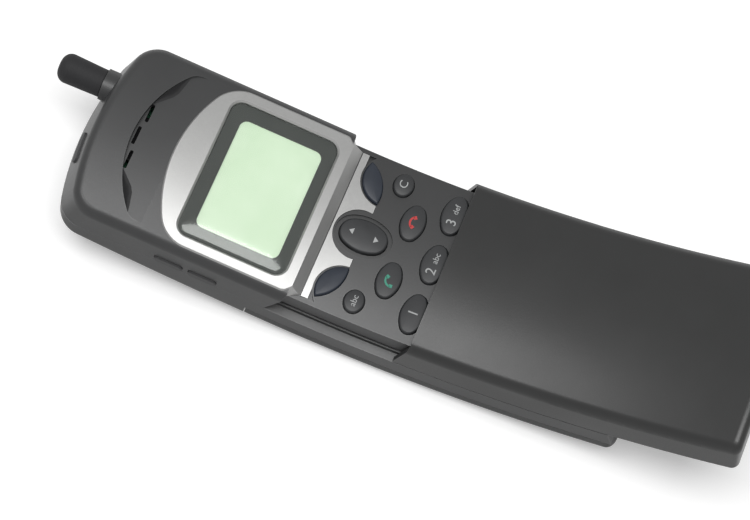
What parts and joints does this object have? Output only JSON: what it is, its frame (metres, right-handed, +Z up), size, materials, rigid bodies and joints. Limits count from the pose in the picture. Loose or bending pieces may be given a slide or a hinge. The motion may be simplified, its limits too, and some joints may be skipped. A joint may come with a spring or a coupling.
{
  "type": "mobile phone",
  "caption": "Curved hand-held phone with a stub antenna, a small display and a keypad part covered by a cover that slides along the curve.",
  "frame": {"origin": "middle of the flat that the phone lies on, on the back of the battery", "axes": "+X to the right of the phone seen from the front, +Y towards the end with the antenna, +Z up out of the front; -Z is the normal of the flat"},
  "size_m": [0.0485, 0.1899, 0.0443],
  "materials": {
    "case": "fine textured dark charcoal plastic",
    "case_cover": "fine textured dark charcoal plastic, slightly worn at the edges",
    "bezel": "smooth silver-painted plastic",
    "window": "clear acrylic",
    "mask": "printed dark frame",
    "lcd": "pale grey-green crystal display",
    "guide": "milky plastic",
    "trim": "bright silver strip",
    "key": "dark grey key tops with pale legends",
    "soft_key": "dark blue-grey key tops",
    "rubber": "moulded rubber",
    "dome": "pressed sheet",
    "board": "green circuit board",
    "can": "tinned sheet",
    "flex": "amber film",
    "antenna": "black rubber over-moulding",
    "brass": "gold-plated contacts",
    "screw": "zinc-plated",
    "socket": "black moulding",
    "capsule": "small metal can",
    "cell": "blue film sleeve",
    "pack": "fine textured dark charcoal plastic",
    "lid": "smooth black plastic",
    "wall_key": "dark grey rubber",
    "runner": "slippery grey nylon",
    "catch": "ribbed black plastic"
  },
  "bodies": {
    "handset": {"front_cover": "case", "rear_cover": "case", "display_bezel": "bezel", "display_window": "window", "display_mask": "mask", "lcd_glass": "lcd", "light_guide": "guide", "display_flex": "flex", "keypad_trim": "trim", "keypad_mat": "rubber", "snap_domes": "dome", "keypad_board": "board", "main_board": "board", "shield_cans": "can", "head_board": "board", "board_flex": "flex", "sim_reader": "socket", "earpiece_gasket": "rubber", "earpiece_capsule": "capsule", "buzzer": "capsule", "antenna": "antenna", "antenna_ferrule": "brass", "system_connector": "socket", "charge_contacts": "brass", "battery_springs": "brass", "case_screws": "screw"},
    "slider": {"slide_cover": "case_cover", "slide_runners": "runner", "mic_boot": "rubber", "microphone": "capsule", "mic_flex": "flex"},
    "battery": {"battery_case": "pack", "battery_lid": "lid", "battery_pads": "brass", "battery_cells": "cell"},
    "catch": {"battery_latch": "catch"},
    "soft_key_left": {"soft_key_left": "soft_key"},
    "soft_key_right": {"soft_key_right": "soft_key"},
    "abc_key": {"abc_key": "key"},
    "clear_key": {"clear_key": "key"},
    "call_key": {"call_key": "key"},
    "end_key": {"end_key": "key"},
    "key_1": {"key_1": "key"},
    "key_2": {"key_2": "key"},
    "key_3": {"key_3": "key"},
    "key_4": {"key_4": "key"},
    "key_5": {"key_5": "key"},
    "key_6": {"key_6": "key"},
    "key_7": {"key_7": "key"},
    "key_8": {"key_8": "key"},
    "key_9": {"key_9": "key"},
    "key_star": {"key_star": "key"},
    "key_0": {"key_0": "key"},
    "key_hash": {"key_hash": "key"},
    "power_key": {"power_key": "wall_key"},
    "volume_up_key": {"volume_up_key": "wall_key"},
    "volume_down_key": {"volume_down_key": "wall_key"},
    "scroll_key": {"scroll_key": "key"}
  },
  "joints": [
    {"name": "cover_slide", "type": "hinge", "parent": "handset", "child": "slider", "pos_m": [0, 0, 0.2244], "axis": [-1, 0, 0], "range_deg": [-8.95, 8.65]},
    {"name": "battery_removal", "type": "hinge", "parent": "handset", "child": "battery", "pos_m": [0, 0, 0.2244], "axis": [-1, 0, 0], "range_deg": [0, 25.78]},
    {"name": "catch_slide", "type": "slide", "parent": "handset", "child": "catch", "axis": [0, 0.9926, 0.1214], "range_m": [0, 0.0018], "stiffness_N_per_m": 400},
    {"name": "soft_key_left_press", "type": "slide", "parent": "handset", "child": "soft_key_left", "axis": [0, 0.0782, -0.9969], "range_m": [0, 0.0005], "stiffness_N_per_m": 500},
    {"name": "soft_key_right_press", "type": "slide", "parent": "handset", "child": "soft_key_right", "axis": [0, 0.0782, -0.9969], "range_m": [0, 0.0005], "stiffness_N_per_m": 500},
    {"name": "abc_key_press", "type": "slide", "parent": "handset", "child": "abc_key", "axis": [0, 0.0447, -0.999], "range_m": [0, 0.0005], "stiffness_N_per_m": 500},
    {"name": "clear_key_press", "type": "slide", "parent": "handset", "child": "clear_key", "axis": [0, 0.0447, -0.999], "range_m": [0, 0.0005], "stiffness_N_per_m": 500},
    {"name": "call_key_press", "type": "slide", "parent": "handset", "child": "call_key", "axis": [0, 0.0162, -0.9999], "range_m": [0, 0.0005], "stiffness_N_per_m": 500},
    {"name": "end_key_press", "type": "slide", "parent": "handset", "child": "end_key", "axis": [0, 0.0162, -0.9999], "range_m": [0, 0.0005], "stiffness_N_per_m": 500},
    {"name": "key_1_press", "type": "slide", "parent": "handset", "child": "key_1", "axis": [0, -0.0272, -0.9996], "range_m": [0, 0.0005], "stiffness_N_per_m": 500},
    {"name": "key_2_press", "type": "slide", "parent": "handset", "child": "key_2", "axis": [0, -0.0272, -0.9996], "range_m": [0, 0.0005], "stiffness_N_per_m": 500},
    {"name": "key_3_press", "type": "slide", "parent": "handset", "child": "key_3", "axis": [0, -0.0272, -0.9996], "range_m": [0, 0.0005], "stiffness_N_per_m": 500},
    {"name": "key_4_press", "type": "slide", "parent": "handset", "child": "key_4", "axis": [0, -0.0737, -0.9973], "range_m": [0, 0.0005], "stiffness_N_per_m": 500},
    {"name": "key_5_press", "type": "slide", "parent": "handset", "child": "key_5", "axis": [0, -0.0737, -0.9973], "range_m": [0, 0.0005], "stiffness_N_per_m": 500},
    {"name": "key_6_press", "type": "slide", "parent": "handset", "child": "key_6", "axis": [0, -0.0737, -0.9973], "range_m": [0, 0.0005], "stiffness_N_per_m": 500},
    {"name": "key_7_press", "type": "slide", "parent": "handset", "child": "key_7", "axis": [0, -0.12, -0.9928], "range_m": [0, 0.0005], "stiffness_N_per_m": 500},
    {"name": "key_8_press", "type": "slide", "parent": "handset", "child": "key_8", "axis": [0, -0.12, -0.9928], "range_m": [0, 0.0005], "stiffness_N_per_m": 500},
    {"name": "key_9_press", "type": "slide", "parent": "handset", "child": "key_9", "axis": [0, -0.12, -0.9928], "range_m": [0, 0.0005], "stiffness_N_per_m": 500},
    {"name": "key_star_press", "type": "slide", "parent": "handset", "child": "key_star", "axis": [0, -0.166, -0.9861], "range_m": [0, 0.0005], "stiffness_N_per_m": 500},
    {"name": "key_0_press", "type": "slide", "parent": "handset", "child": "key_0", "axis": [0, -0.166, -0.9861], "range_m": [0, 0.0005], "stiffness_N_per_m": 500},
    {"name": "key_hash_press", "type": "slide", "parent": "handset", "child": "key_hash", "axis": [0, -0.166, -0.9861], "range_m": [0, 0.0005], "stiffness_N_per_m": 500},
    {"name": "power_key_press", "type": "slide", "parent": "handset", "child": "power_key", "axis": [0, -0.9926, -0.1214], "range_m": [0, 0.0005], "stiffness_N_per_m": 500},
    {"name": "volume_up_key_press", "type": "slide", "parent": "handset", "child": "volume_up_key", "axis": [1, 0, 0], "range_m": [0, 0.0004], "stiffness_N_per_m": 500},
    {"name": "volume_down_key_press", "type": "slide", "parent": "handset", "child": "volume_down_key", "axis": [1, 0, 0], "range_m": [0, 0.0004], "stiffness_N_per_m": 500},
    {"name": "scroll_key_rock", "type": "hinge", "parent": "handset", "child": "scroll_key", "pos_m": [0, 0.01333, 0.02043], "axis": [1, 0, 0], "range_deg": [-1.8, 1.8], "stiffness_Nm_per_rad": 0.03}
  ]
}
